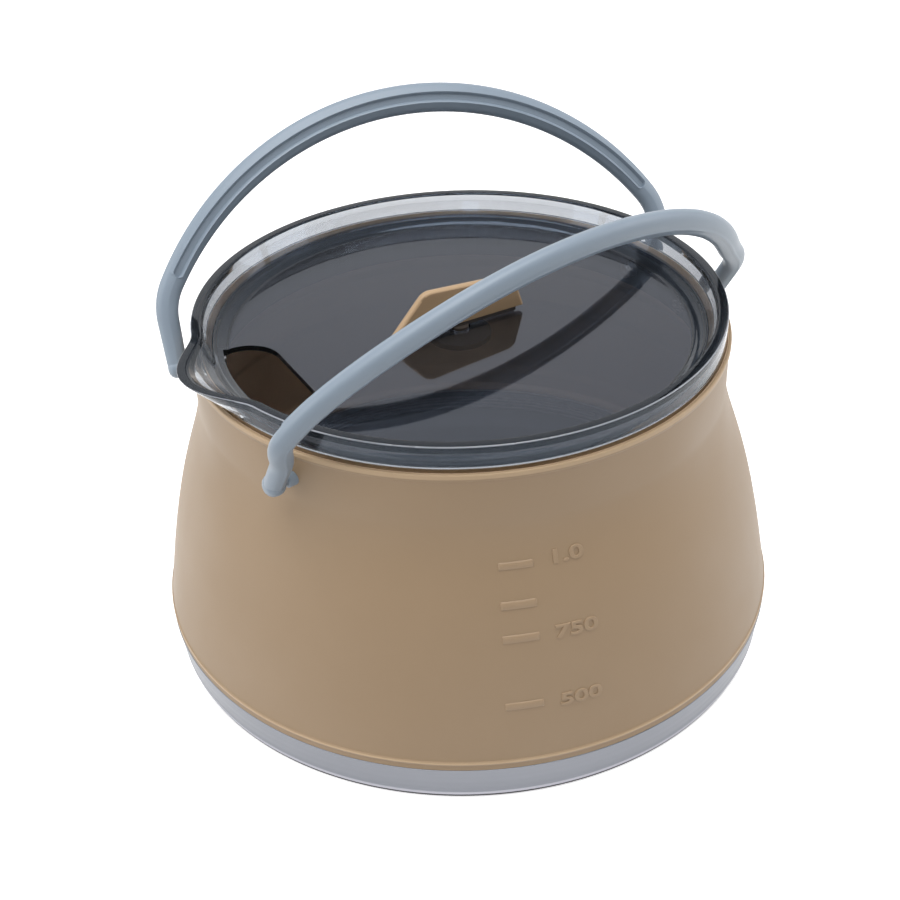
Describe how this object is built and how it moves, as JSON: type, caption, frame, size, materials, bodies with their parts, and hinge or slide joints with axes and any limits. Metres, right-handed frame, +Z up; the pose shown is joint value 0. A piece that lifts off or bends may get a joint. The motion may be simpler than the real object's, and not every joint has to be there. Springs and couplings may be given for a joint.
{
  "type": "collapsible kettle",
  "caption": "Camping kettle with a metal pan base, a folding silicone wall, a clear sunken lid with a spout lip, and folding bail handles.",
  "frame": {"origin": "centre of the flat underside of the pan, on the surface that the kettle stands on", "axes": "+Z is up; the spout points along -X; +Y is to the right of someone behind the kettle who looks at the spout"},
  "size_m": [0.163, 0.163, 0.1333],
  "materials": {
    "pan_metal": "satin",
    "steel": "brushed",
    "wall_silicone": "matte silicone",
    "knob_silicone": "matte silicone",
    "collar_plastic": "matte",
    "handle_plastic": "satin",
    "lid_plastic": "smoky gloss"
  },
  "bodies": {
    "base": {"base_pan": "pan_metal", "clamp_ring": "steel", "lower_wall": "wall_silicone", "fold_wall": "wall_silicone"},
    "rim": {"upper_wall": "wall_silicone", "rim_collar": "collar_plastic", "pivot_bush_spout_left": "handle_plastic", "pivot_bush_rear_left": "handle_plastic", "pivot_bush_spout_right": "handle_plastic", "pivot_bush_rear_right": "handle_plastic", "pivot_pin_spout_left": "steel", "pivot_pin_rear_left": "steel", "pivot_pin_spout_right": "steel", "pivot_pin_rear_right": "steel"},
    "left_bail": {"handle_left": "handle_plastic"},
    "right_bail": {"handle_right": "handle_plastic"},
    "lid": {"lid_shell": "lid_plastic", "lid_knob": "knob_silicone", "knob_washer": "collar_plastic"}
  },
  "joints": [
    {"name": "collapse", "type": "slide", "parent": "base", "child": "rim", "axis": [0, 0, -1], "range_m": [0, 0.045], "deforming": ["fold_wall"]},
    {"name": "left_handle_fold", "type": "hinge", "parent": "rim", "child": "left_bail", "pos_m": [0.00296, -0.02039, 0.077], "axis": [0.9897, 0.1435, 0], "range_deg": [-45.3, 59.5]},
    {"name": "right_handle_fold", "type": "hinge", "parent": "rim", "child": "right_bail", "pos_m": [0.00296, 0.02039, 0.077], "axis": [-0.9897, 0.1435, 0], "range_deg": [-35.8, 69]},
    {"name": "lid_lift", "type": "slide", "parent": "rim", "child": "lid", "axis": [0, 0, 1], "range_m": [0, 0.0025]}
  ]
}
